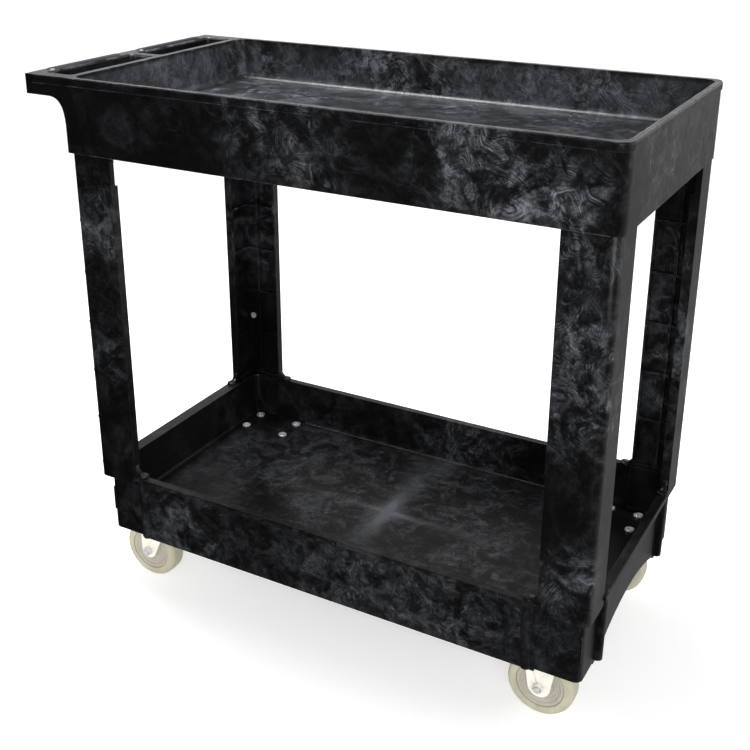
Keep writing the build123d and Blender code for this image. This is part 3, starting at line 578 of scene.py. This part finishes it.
@dataclass(frozen=True)
class PlatingFinish:
    """Pale lacquered or plated metal with brushed grain, small stains and worn edges."""

    name: str
    bright: Colour
    stain: Colour
    metallic: float
    roughness: float
    grain: Place = (60.0, 60.0, 900.0)
    edge: Colour = (0.86, 0.86, 0.84)

    def build(self) -> bpy.types.Material:
        """Writes the material.

        Returns:
            The finished material.
        """
        book = NodeBook(bpy.data.materials.new(self.name))
        at = book.place()
        cloud = book.noise(at, 55.0, 5.0, 0.62, 0.6)
        brushed = book.noise(book.scaled(at, self.grain), 1.0, 3.0, 0.6)
        speck = book.noise(at, 620.0, 2.0, 0.5).rise(0.66, 0.76)
        colour = book.mix(cloud.rise(0.40, 0.76), self.bright, self.stain)
        colour = book.mix(speck * 0.3, colour, self.stain)
        # Real wear here: the metal's edges turn paler where worn.
        wear_and_sheen = book.edge_mask(0.0008).rise(0.05, 0.35) * cloud.rise(0.3, 0.6)
        colour = book.mix(wear_and_sheen * 0.6, colour, self.edge)
        rough = brushed * 0.18 + cloud * 0.12 + (self.roughness - 0.12)
        normal = book.bump(brushed, 0.00003, 0.5)
        normal = book.bump(cloud, 0.0002, 0.25, normal)
        return book.finish({"Base Color": colour, "Roughness": rough, "Normal": normal},
                           {"Metallic": self.metallic})


# ------------------------------------------------------------------ numpy surfaces
def put_mesh(name: str, points: np.ndarray, faces: np.ndarray) -> bpy.types.Object:
    """Makes a mesh object at the origin from arrays.

    Args:
        name: The object's name.
        points: (n, 3) places in metres.
        faces: (m, 3 or 4) corner numbers.

    Returns:
        The object, linked to the scene.
    """
    mesh = bpy.data.meshes.new(name)
    mesh.from_pydata(points.tolist(), [], faces.tolist())
    mesh.update()
    mesh.shade_smooth()
    piece = bpy.data.objects.new(name, mesh)
    bpy.context.scene.collection.objects.link(piece)
    return piece


def round_grid(rings: int, steps: int) -> np.ndarray:
    """Quads of a grid that closes in the second direction only.

    Args:
        rings: Number of rings.
        steps: Points round each ring.

    Returns:
        (m, 4) corner numbers.
    """
    row = np.arange(rings - 1)[:, None] * steps
    col = np.arange(steps)[None, :]
    nxt = (col + 1) % steps
    quads = np.stack([row + col, row + nxt, row + steps + nxt, row + steps + col], axis=-1)
    return quads.reshape(-1, 4)


def turned(profile: np.ndarray, centre: Vector, steps: int, name: str) -> bpy.types.Object:
    """Ring of revolution about an axle along Y.

    A profile point (r, s) at angle t goes to centre + (r cos t, s, r sin t).

    Args:
        profile: (n, 2) radius and side, in metres, round a closed section.
        centre: Point on the axle.
        steps: Facets round the axle.
        name: The object's name.

    Returns:
        The object.
    """
    angle = np.linspace(0.0, 2.0 * np.pi, steps, endpoint=False)
    radius, side = profile[:, 0][:, None], profile[:, 1][:, None]
    points = np.stack([radius * np.cos(angle), side + 0.0 * angle, radius * np.sin(angle)], axis=-1)
    points = points.reshape(-1, 3) + np.array(centre)
    quads = round_grid(len(profile) + 1, steps) % (len(profile) * steps)
    return weld(put_mesh(name, points, quads))


def weld(piece: bpy.types.Object, distance: float = 1e-6, outward: bool = True) -> bpy.types.Object:
    """Merges doubled points, which closes poles, and turns the faces outward.

    Edges sharper than the crisp angle then stay sharp.

    Args:
        piece: The object.
        distance: Points nearer than this become one.
        outward: False leaves the faces as they are.

    Returns:
        The same object.
    """
    work = bmesh.new()
    work.from_mesh(piece.data)
    bmesh.ops.remove_doubles(work, verts=work.verts, dist=distance)
    bmesh.ops.dissolve_degenerate(work, edges=work.edges, dist=distance)
    if outward:
        bmesh.ops.recalc_face_normals(work, faces=work.faces)
    work.to_mesh(piece.data)
    work.free()
    piece.data.set_sharp_from_angle(angle=math.radians(CRISP_ANGLE))
    return piece


def arc(centre: tuple[float, float], radius: float, start: float, end: float,
        count: int) -> np.ndarray:
    """Points on a circular arc.

    Args:
        centre: (radius, side) of the middle.
        radius: The arc's radius.
        start: First angle in degrees.
        end: Last angle in degrees.
        count: Number of points.

    Returns:
        (count, 2) points.
    """
    angle = np.radians(np.linspace(start, end, count))
    return np.stack([centre[0] + radius * np.cos(angle), centre[1] + radius * np.sin(angle)], axis=-1)


# ------------------------------------------------------------------ sub-assemblies
@dataclass
class MouldedPiece:
    """A moulded node: its mesh welded and its sharp edges rounded, in resin."""

    node: str
    resin: bpy.types.Material
    edge_round: float = 0.0009
    segments: int = 2

    def dress(self) -> None:
        """Adds the rounding and the material."""
        piece = frame["nodes"][self.node]
        soften(piece, self.edge_round, self.segments)
        paint(piece, self.resin)
        LOG.info("dressed %s", self.node)


def soften(piece: bpy.types.Object, width: float, segments: int) -> None:
    """Welds a node's loose triangles and rounds its sharp edges.

    Args:
        piece: The node's object.
        width: Width of the rounding in metres.
        segments: Facets across the rounding.
    """
    join = piece.modifiers.new("join", "WELD")
    join.merge_threshold = 2e-6
    bevel = piece.modifiers.new("edges", "BEVEL")
    bevel.width = width
    bevel.segments = segments
    bevel.limit_method = "ANGLE"
    bevel.angle_limit = math.radians(38.0)
    bevel.use_clamp_overlap = True
    bevel.harden_normals = True


def paint(piece: bpy.types.Object, material: bpy.types.Material) -> None:
    """Puts one material in every slot of a piece.

    Args:
        piece: The object.
        material: The material.
    """
    if not piece.material_slots:
        piece.data.materials.append(material)
    for slot in piece.material_slots:
        slot.material = material


@dataclass
class CasterPart:
    """Something that belongs to one caster."""

    kind: Kind
    side: Side

    @property
    def prefix(self) -> str:
        """Start of this caster's node names."""
        return f"{self.kind.value}_{self.side.value}"

    def hand_over(self, piece: bpy.types.Object, node: str, slot: str, body: str,
                  material: bpy.types.Material) -> None:
        """Paints a piece and hands it to its body in place of its node.

        Args:
            piece: The new object.
            node: End of the name of the node that it replaces.
            slot: Not used.
            body: The body that carries it.
            material: Its material.
        """
        paint(piece, material)
        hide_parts(f"{self.prefix}_{node}")
        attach(piece, body)


@dataclass
class CasterWheel(CasterPart):
    """Tread and core of one wheel, turned with their rings, grooves and rounded shoulders."""

    shoulder: float = 0.0065
    part_line: float = 0.00035
    groove: float = 0.0009
    hub_radius: float = 0.0150
    band_inset: float = 0.0012
    dish_depth: float = 0.0022
    ripple: float = 0.00035
    bore_gap: float = 0.00006
    seat_gap: float = 0.00005
    steps: int = 128
    centre: Vector = field(init=False)
    radius: float = field(init=False)
    half: float = field(init=False)

    def __post_init__(self) -> None:
        """Takes the wheel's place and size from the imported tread."""
        low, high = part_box(f"{self.prefix}_wheel_tread")
        self.centre = (low + high) / 2.0
        self.radius = (high.z - low.z) / 2.0
        self.half = (high.y - low.y) / 2.0

    def tread_profile(self, inner: float) -> np.ndarray:
        """Closed tread section: round shoulders, a slight crown and a raised parting line.

        Args:
            inner: Radius of the seat on the core.

        Returns:
            (n, 2) radius and side.
        """
        top = self.radius - self.part_line
        turn = self.shoulder
        low_side = arc((top - turn, -self.half + turn), turn, -90.0, 0.0, 9)
        line = [(top + self.part_line * 0.2, -0.0006), (self.radius, -0.0003),
                (self.radius, 0.0003), (top + self.part_line * 0.2, 0.0006)]
        high_side = arc((top - turn, self.half - turn), turn, 0.0, 90.0, 9)
        seat = [(inner + self.groove, self.half), (inner, self.half - self.groove),
                (inner, -self.half + self.groove), (inner + self.groove, -self.half)]
        return np.vstack([low_side, line, high_side, seat])

    def core_profile(self, outer: float, bore: float, hub: float) -> np.ndarray:
        """Closed core section: band, ring groove, dished web with three ripples, and a hub boss.

        The dish falls by a cosine ripple of three periods between the hub and the band.

        Args:
            outer: Radius of the seat under the tread.
            bore: Radius of the hole.
            hub: Half width of the hub.

        Returns:
            (n, 2) radius and side.
        """
        band_side = self.half - self.band_inset
        across = np.linspace(self.hub_radius + 0.0015, outer - 0.0062, 25)
        share = (across - across[0]) / (across[-1] - across[0])
        dish = band_side - self.dish_depth + self.ripple * np.cos(6.0 * np.pi * share)
        face = np.vstack([
            [(bore, hub), (self.hub_radius - 0.0012, hub), (self.hub_radius, hub - 0.0012)],
            np.stack([across, dish], axis=-1),
            [(outer - 0.0048, band_side - 0.0003), (outer - 0.0012, band_side),
             (outer, band_side - 0.0012)],
        ])
        mirror = face[::-1] * np.array([1.0, -1.0])
        return np.vstack([face, mirror])

    def build(self, tread: bpy.types.Material, core: bpy.types.Material) -> None:
        """Makes both pieces.

        Args:
            tread: Material of the tread.
            core: Material of the core.
        """
        low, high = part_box(f"{self.prefix}_wheel_core")
        outer = (high.z - low.z) / 2.0
        hub = (high.y - low.y) / 2.0
        bush_low, bush_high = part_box(f"{self.prefix}_wheel_bush")
        bore = (bush_high.z - bush_low.z) / 2.0 + self.bore_gap
        pieces = (
            ("tread", self.tread_profile(outer), tread),
            ("core", self.core_profile(outer - self.seat_gap, bore, hub), core),
        )
        for word, profile, material in pieces:
            piece = turned(profile, self.centre, self.steps, f"{self.prefix}_{word}_turned")
            self.hand_over(piece, f"wheel_{word}", f"wheel_{word}", f"{self.prefix}_wheel", material)
            LOG.info("turned the %s of the %s wheel", word, self.prefix)


@dataclass
class AxleHardware(CasterPart):
    """Axle bolt with a chamfered head and rolled thread, and its chamfered nut."""

    steps: int = 96
    pitch: float = 0.0014
    thread_depth: float = 0.0006
    thread_start: float = -0.001
    shank: float = 0.0048
    head: float = 0.0050
    bore: float = 0.0049
    cone: float = 30.0
    way: float = field(init=False)
    apothem: float = field(init=False)
    corner: float = field(init=False)
    drop: float = field(init=False)
    origin: Vector = field(init=False)
    width: float = field(init=False)
    reach: tuple[float, float] = field(init=False)

    def __post_init__(self) -> None:
        """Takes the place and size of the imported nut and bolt.

        Distances along the axle run outward from the nut's inner face.
        """
        nut_low, nut_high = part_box(f"{self.prefix}_axle_nut")
        bolt_low, bolt_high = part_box(f"{self.prefix}_axle_bolt")
        self.way = 1.0 if self.side is Side.FAR else -1.0
        self.apothem = min(nut_high.x - nut_low.x, nut_high.z - nut_low.z) / 2.0
        self.corner = self.apothem / math.cos(math.pi / 6.0)
        self.drop = (self.corner - self.apothem) * math.tan(math.radians(self.cone))
        centre = (nut_low + nut_high) / 2.0
        start = nut_low.y if self.way > 0 else nut_high.y
        self.origin = Vector((centre.x, start, centre.z))
        self.width = nut_high.y - nut_low.y
        ends = (bolt_low.y, bolt_high.y) if self.way > 0 else (-bolt_high.y, -bolt_low.y)
        self.reach = (ends[0] - self.way * start, ends[1] - self.way * start)

    @property
    def body(self) -> str:
        """Body that carries the axle."""
        return self.prefix if self.kind is Kind.SWIVEL else "cart"

    @staticmethod
    def hexagon(angle: np.ndarray, apothem: float) -> np.ndarray:
        """Radius of a hexagon at an angle: apothem / cos(angle folded into 30 degrees of a flat)."""
        sector = np.pi / 3.0
        return apothem / np.cos((angle + sector / 2.0) % sector - sector / 2.0)

    def barrel(self, sections: Sequence[tuple[float, float, bool]], name: str,
               thread: Optional[tuple[float, float]] = None) -> bpy.types.Object:
        """One surface from pole to pole through round and hexagonal sections along Y.

        Each ring's radius is the smaller of the round limit and, where hexagonal, the hexagon. On
        the thread the radius also follows a triangle wave of (distance / pitch - angle / 2 pi).

        Args:
            sections: (distance, round limit, hexagonal) for each ring.
            name: The object's name.
            thread: (start, end) of the thread, or None.

        Returns:
            The object.
        """
        angle = np.linspace(0.0, 2.0 * np.pi, self.steps, endpoint=False)
        hexagon = self.hexagon(angle, self.apothem)
        rings = []
        for distance, limit, hexagonal in sections:
            radius = np.full_like(angle, limit)
            if hexagonal:
                radius = np.minimum(radius, hexagon)
            if thread and thread[0] <= distance <= thread[1]:
                phase = (distance / self.pitch - angle / (2.0 * np.pi)) % 1.0
                radius = radius - self.thread_depth * np.abs(2.0 * phase - 1.0)
            rings.append(np.stack([radius * np.cos(angle), np.full_like(angle, self.way * distance),
                                   radius * np.sin(angle)], axis=-1))
        points = np.vstack(rings) + np.array(self.origin)
        return weld(put_mesh(name, points, round_grid(len(rings), self.steps)))

    def build(self, steel: bpy.types.Material) -> None:
        """Makes the bolt and the nut.

        Args:
            steel: Their material.
        """
        for piece, node in ((self._nut(), "axle_nut"), (self._bolt(), "axle_bolt")):
            self.hand_over(piece, node, "axle_steel", self.body, steel)
        LOG.info("made the axle hardware of the %s caster", self.prefix)

    def _nut(self) -> bpy.types.Object:
        """Makes the nut: a hexagon cut by a cone at each end, with a round bore.

        Returns:
            The nut.
        """
        width, apothem, corner, bore = self.width, self.apothem, self.corner, self.bore
        sections = [(0.0, bore, False), (0.0, apothem * 0.97, False), (0.0, apothem, True),
                    (self.drop, corner, True), (width - self.drop, corner, True), (width, apothem, True),
                    (width, apothem * 0.97, False), (width, bore + 0.0006, False),
                    (width - 0.0006, bore, False), (0.0, bore, False)]
        return self.barrel(sections, f"{self.prefix}_nut_cut")

    def _bolt(self) -> bpy.types.Object:
        """Makes the bolt: hexagonal head, plain shank and a threaded tip with a chamfered end.

        Returns:
            The bolt.
        """
        (first, last), shank, head = self.reach, self.shank, self.head
        thread = (self.thread_start, last - self.thread_depth)
        turns = np.arange(*thread, self.pitch / 8.0)
        sections = [(first, 0.0, False), (first, self.apothem * 0.95, False),
                    (first + self.drop, self.corner, True), (first + head, self.corner, True),
                    (first + head, shank, False),
                    (self.thread_start - 0.0002, shank, False)]
        sections += [(float(distance), shank, False) for distance in turns]
        sections += [(last - 0.0004, shank - 0.0006, False), (last, shank - 0.0012, False),
                     (last, 0.0, False)]
        return self.barrel(sections, f"{self.prefix}_bolt_cut", thread)


@dataclass
class MetalNodes:
    """Metal nodes that keep their shape, by the end of their names."""

    endings: tuple[str, ...]
    finish: PlatingFinish
    edge_round: float

    def dress(self) -> None:
        """Rounds and paints every node whose name has one of the endings."""
        material = self.finish.build()
        for name, piece in sorted(frame["nodes"].items()):
            if name.endswith(self.endings):
                if self.edge_round > 0.0:
                    soften(piece, self.edge_round, 2)
                paint(piece, material)
                LOG.info("dressed %s", name)


# ------------------------------------------------------------------ studio
@dataclass(frozen=True)
class Softbox:
    """Rectangular area light."""

    name: str
    place: Place
    aim: Place
    size: tuple[float, float]
    power: float

    def build(self) -> None:
        """Adds the light."""
        light = bpy.data.lights.new(self.name, "AREA")
        light.shape = "RECTANGLE"
        light.size, light.size_y = self.size
        light.energy = self.power
        holder = bpy.data.objects.new(self.name, light)
        holder.location = self.place
        turn = (Vector(self.aim) - Vector(self.place)).to_track_quat("-Z", "Y")
        holder.rotation_euler = turn.to_euler()
        holder.visible_camera = False
        bpy.context.scene.collection.objects.link(holder)


@dataclass
class Studio:
    """Pale floor that sweeps up all round, softboxes, surroundings and the camera."""

    eye: Place = (0.8166, -1.4723, 1.1630)
    yaw: float = 29.48
    pitch: float = 21.21
    roll: float = 0.13
    lens: float = 54.98
    shift: tuple[float, float] = (0.0216, -0.1003)
    floor_reach: float = 9.0
    floor_turn: float = 2.0
    floor_steps: int = 96
    wall_height: float = 9.0
    glow: float = 0.44
    front_level: float = 0.02
    back_level: float = 1.05
    high_share: float = 0.30
    low_share: float = 0.30
    bright_way: Place = (0.30, 0.954, 0.0)
    lights: tuple[Softbox, ...] = (
        Softbox("top", (-0.85, 0.25, 2.6), (0.0, 0.0, 0.75), (1.0, 0.8), 75.0),
        Softbox("right", (3.0, 0.6, 1.7), (0.3, 0.0, 0.5), (1.6, 1.8), 12.0),
        Softbox("front", (1.6, -2.8, 1.6), (0.0, 0.0, 0.2), (1.6, 1.2), 34.0),
    )

    def camera(self) -> None:
        """Adds the camera."""
        data = bpy.data.cameras.new("view")
        data.lens = self.lens
        data.sensor_width = 36.0
        data.shift_x, data.shift_y = self.shift
        holder = bpy.data.objects.new("view", data)
        holder.location = self.eye
        angles = (90.0 - self.pitch, self.roll, self.yaw)
        holder.rotation_euler = tuple(math.radians(angle) for angle in angles)
        bpy.context.scene.collection.objects.link(holder)
        bpy.context.scene.camera = holder

    def ground(self) -> None:
        """Adds the round floor that sweeps up into a wall on every side.

        A profile point (r, z) at angle t goes to (r cos t, r sin t, z).
        """
        reach, turn, height = self.floor_reach, self.floor_turn, self.wall_height
        bend = arc((reach - turn, turn), turn, -90.0, 0.0, 13)
        path = np.vstack([[(0.0, 0.0), (1.5, 0.0)], bend, [(reach, height)]])
        angle = np.linspace(0.0, 2.0 * np.pi, self.floor_steps, endpoint=False)
        points = np.stack([path[:, :1] * np.cos(angle), path[:, :1] * np.sin(angle),
                           path[:, 1:] + 0.0 * angle], axis=-1).reshape(-1, 3)
        quads = round_grid(len(path), self.floor_steps)
        sweep = weld(put_mesh("studio_sweep", points, quads), outward=False)
        book = NodeBook(bpy.data.materials.new("studio_paper"))
        fine = book.noise(book.place(), 40.0, 3.0)
        colour = book.mix(fine, (0.86, 0.86, 0.86), (0.88, 0.88, 0.88))
        lit = {"Roughness": 0.9, "Specular IOR Level": 0.1, "Emission Color": (1.0, 1.0, 1.0, 1.0),
               "Emission Strength": self.glow}
        paint(sweep, book.finish({"Base Color": colour}, lit))
        sweep.visible_glossy = False

    def world(self) -> None:
        """Surroundings that are white low down behind the trolley and dark in front of it.

        Brightness is a smooth step of the direction's share along a level axis behind the trolley,
        times a band of the direction's height with smooth sides.
        """
        world = bpy.data.worlds.new("surroundings")
        book = NodeBook(world)
        direction = book.add("ShaderNodeTexCoord", output="Generated")
        behind = book.vector("DOT_PRODUCT", direction, self.bright_way, "Value")
        height = book.vector("DOT_PRODUCT", direction, (0.0, 0.0, 1.0), "Value")
        strength = (behind.rise(-0.10, 0.60, self.front_level, self.back_level)
                    * height.rise(0.20, 0.44, 1.0, self.high_share)
                    * height.rise(-0.20, 0.08, self.low_share, 1.0))
        white = {"Color": (1.0, 1.0, 1.0, 1.0), "Strength": strength}
        background = book.add("ShaderNodeBackground", None, white)
        book.add("ShaderNodeOutputWorld", None, {"Surface": background})
        bpy.context.scene.world = world
        bpy.context.scene.view_settings.view_transform = "Standard"

    def build(self) -> None:
        """Sets the whole studio."""
        self.camera()
        self.ground()
        self.world()
        for light in self.lights:
            light.build()
        LOG.info("set the studio")


# ------------------------------------------------------------------ the trolley
SHELF_PATCHES = (
    FlowPatch((0.262, -0.222, 0.811), 0.060, 1.25),
    FlowPatch((0.364, -0.222, 0.772), 0.052, 1.25),
    FlowPatch((0.020, -0.222, 0.800), 0.080, 0.40),
    FlowPatch((-0.060, -0.222, 0.825), 0.060, 0.35),
    FlowPatch((0.235, 0.214, 0.828), 0.110, 0.75),
    FlowPatch((-0.060, 0.214, 0.830), 0.110, 0.75),
    FlowPatch((-0.334, 0.214, 0.826), 0.060, 0.80),
    FlowPatch((-0.330, 0.120, 0.793), 0.060, 0.90),
    FlowPatch((0.090, 0.150, 0.793), 0.070, 0.55),
    FlowPatch((0.269, 0.126, 0.793), 0.055, 0.90),
    FlowPatch((-0.330, 0.020, 0.793), 0.090, 0.95),
    FlowPatch((-0.200, 0.110, 0.793), 0.080, 0.70),
    FlowPatch((0.462, -0.080, 0.810), 0.130, 0.45),
    FlowPatch((0.462, 0.130, 0.790), 0.110, 0.40),
    FlowPatch((-0.100, 0.224, 0.800), 0.120, 0.35),
    FlowPatch((-0.390, -0.060, 0.790), 0.110, 0.35),
)
TRAY_PATCHES = (
    FlowPatch((0.250, -0.090, 0.134), 0.150, 0.85),
    FlowPatch((-0.050, -0.030, 0.134), 0.120, 0.75),
    FlowPatch((-0.200, 0.080, 0.134), 0.130, 0.55),
    FlowPatch((0.100, 0.100, 0.134), 0.120, 0.50),
    FlowPatch((0.085, 0.208, 0.200), 0.070, 0.55),
    FlowPatch((-0.232, -0.215, 0.140), 0.090, 0.40),
    FlowPatch((0.050, -0.215, 0.130), 0.120, 0.25),
)
LEG_PATCHES = (
    FlowPatch((0.420, -0.222, 0.617), 0.026, 1.30),
    FlowPatch((0.420, -0.222, 0.728), 0.040, 0.60),
    FlowPatch((0.425, -0.222, 0.520), 0.060, 0.45),
    FlowPatch((0.430, -0.222, 0.255), 0.050, 0.70),
    FlowPatch((-0.350, -0.222, 0.640), 0.060, 0.50),
    FlowPatch((-0.350, -0.222, 0.430), 0.060, 0.35),
    FlowPatch((0.460, -0.195, 0.560), 0.110, 0.40),
    FlowPatch((0.460, 0.195, 0.400), 0.130, 0.40),
    FlowPatch((-0.360, 0.220, 0.520), 0.110, 0.45),
    FlowPatch((0.430, 0.220, 0.480), 0.120, 0.45),
)


METALS = (
    (("_fork", "_plate", "_kingpin"), 0.0004,
     PlatingFinish("cream_lacquer", (0.90, 0.875, 0.78), (0.80, 0.76, 0.64), 0.05, 0.34)),
    (("caster_bolts", "leg_rivets"), 0.0002,
     PlatingFinish("bright_plate", (0.88, 0.89, 0.92), (0.64, 0.66, 0.70), 0.55, 0.20)),
    (("leg_screws", "caster_nuts"), 0.0,
     PlatingFinish("dull_zinc", (0.66, 0.66, 0.65), (0.45, 0.45, 0.43), 1.0, 0.38)),
    (("_balls", "_bush"), 0.0,
     PlatingFinish("ground_steel", (0.58, 0.58, 0.58), (0.42, 0.41, 0.40), 1.0, 0.28)),
)


def build_shelves() -> None:
    """Dresses the two shelves and the legs in their resins."""
    # The upper shelf gets a brighter, bluer painted edge highlight, and a painted sheen inside its tub's
    # box.
    shelf = ResinFinish("upper_resin", SHELF_PATCHES, edge_light=0.9, highlight_and_speck_colour=(0.50, 0.54, 0.66),
                        basin=((-0.395, -0.2185, 0.7915), (0.457, 0.2185, 0.858)))
    tray_low, tray_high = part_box("lower_shelf")
    gate = ((tray_low.x + tray_high.x) / 2.0, 0.0, frame["record"]["mounts"][1]["pos_m"][2])
    tray = ResinFinish("lower_resin", TRAY_PATCHES, (GateStar(gate, 0.16),))
    leg = ResinFinish("leg_resin", LEG_PATCHES).build()
    MouldedPiece("upper_shelf", shelf.build()).dress()
    MouldedPiece("lower_shelf", tray.build()).dress()
    for end in End:
        for side in Side:
            MouldedPiece(f"leg_{side.value}_{end.value}", leg).dress()


def build_casters() -> None:
    """Turns the wheels, cuts the axle hardware and dresses the metal nodes."""
    wheels = [CasterWheel(kind, side) for kind, side in CASTERS]
    axles = tuple(tuple(wheel.centre) for wheel in wheels)
    tread = WheelFinish("tread_polymer", axles).build()
    core = WheelFinish("core_polymer", axles, (0.46, 0.44, 0.385), (0.39, 0.37, 0.315), 0.36).build()
    for wheel in wheels:
        wheel.build(tread, core)
    steel = PlatingFinish("axle_zinc", (0.86, 0.86, 0.84), (0.60, 0.59, 0.56), 0.35, 0.26).build()
    for kind, side in CASTERS:
        AxleHardware(kind, side).build(steel)
    for endings, edge_round, finish in METALS:
        MetalNodes(endings, finish, edge_round).dress()


def main() -> None:
    """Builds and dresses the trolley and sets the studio."""
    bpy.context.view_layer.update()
    build_shelves()
    build_casters()
    Studio().build()


if __name__ == "__main__":
    logging.basicConfig(level=logging.INFO, format="%(name)s: %(message)s")
    main()
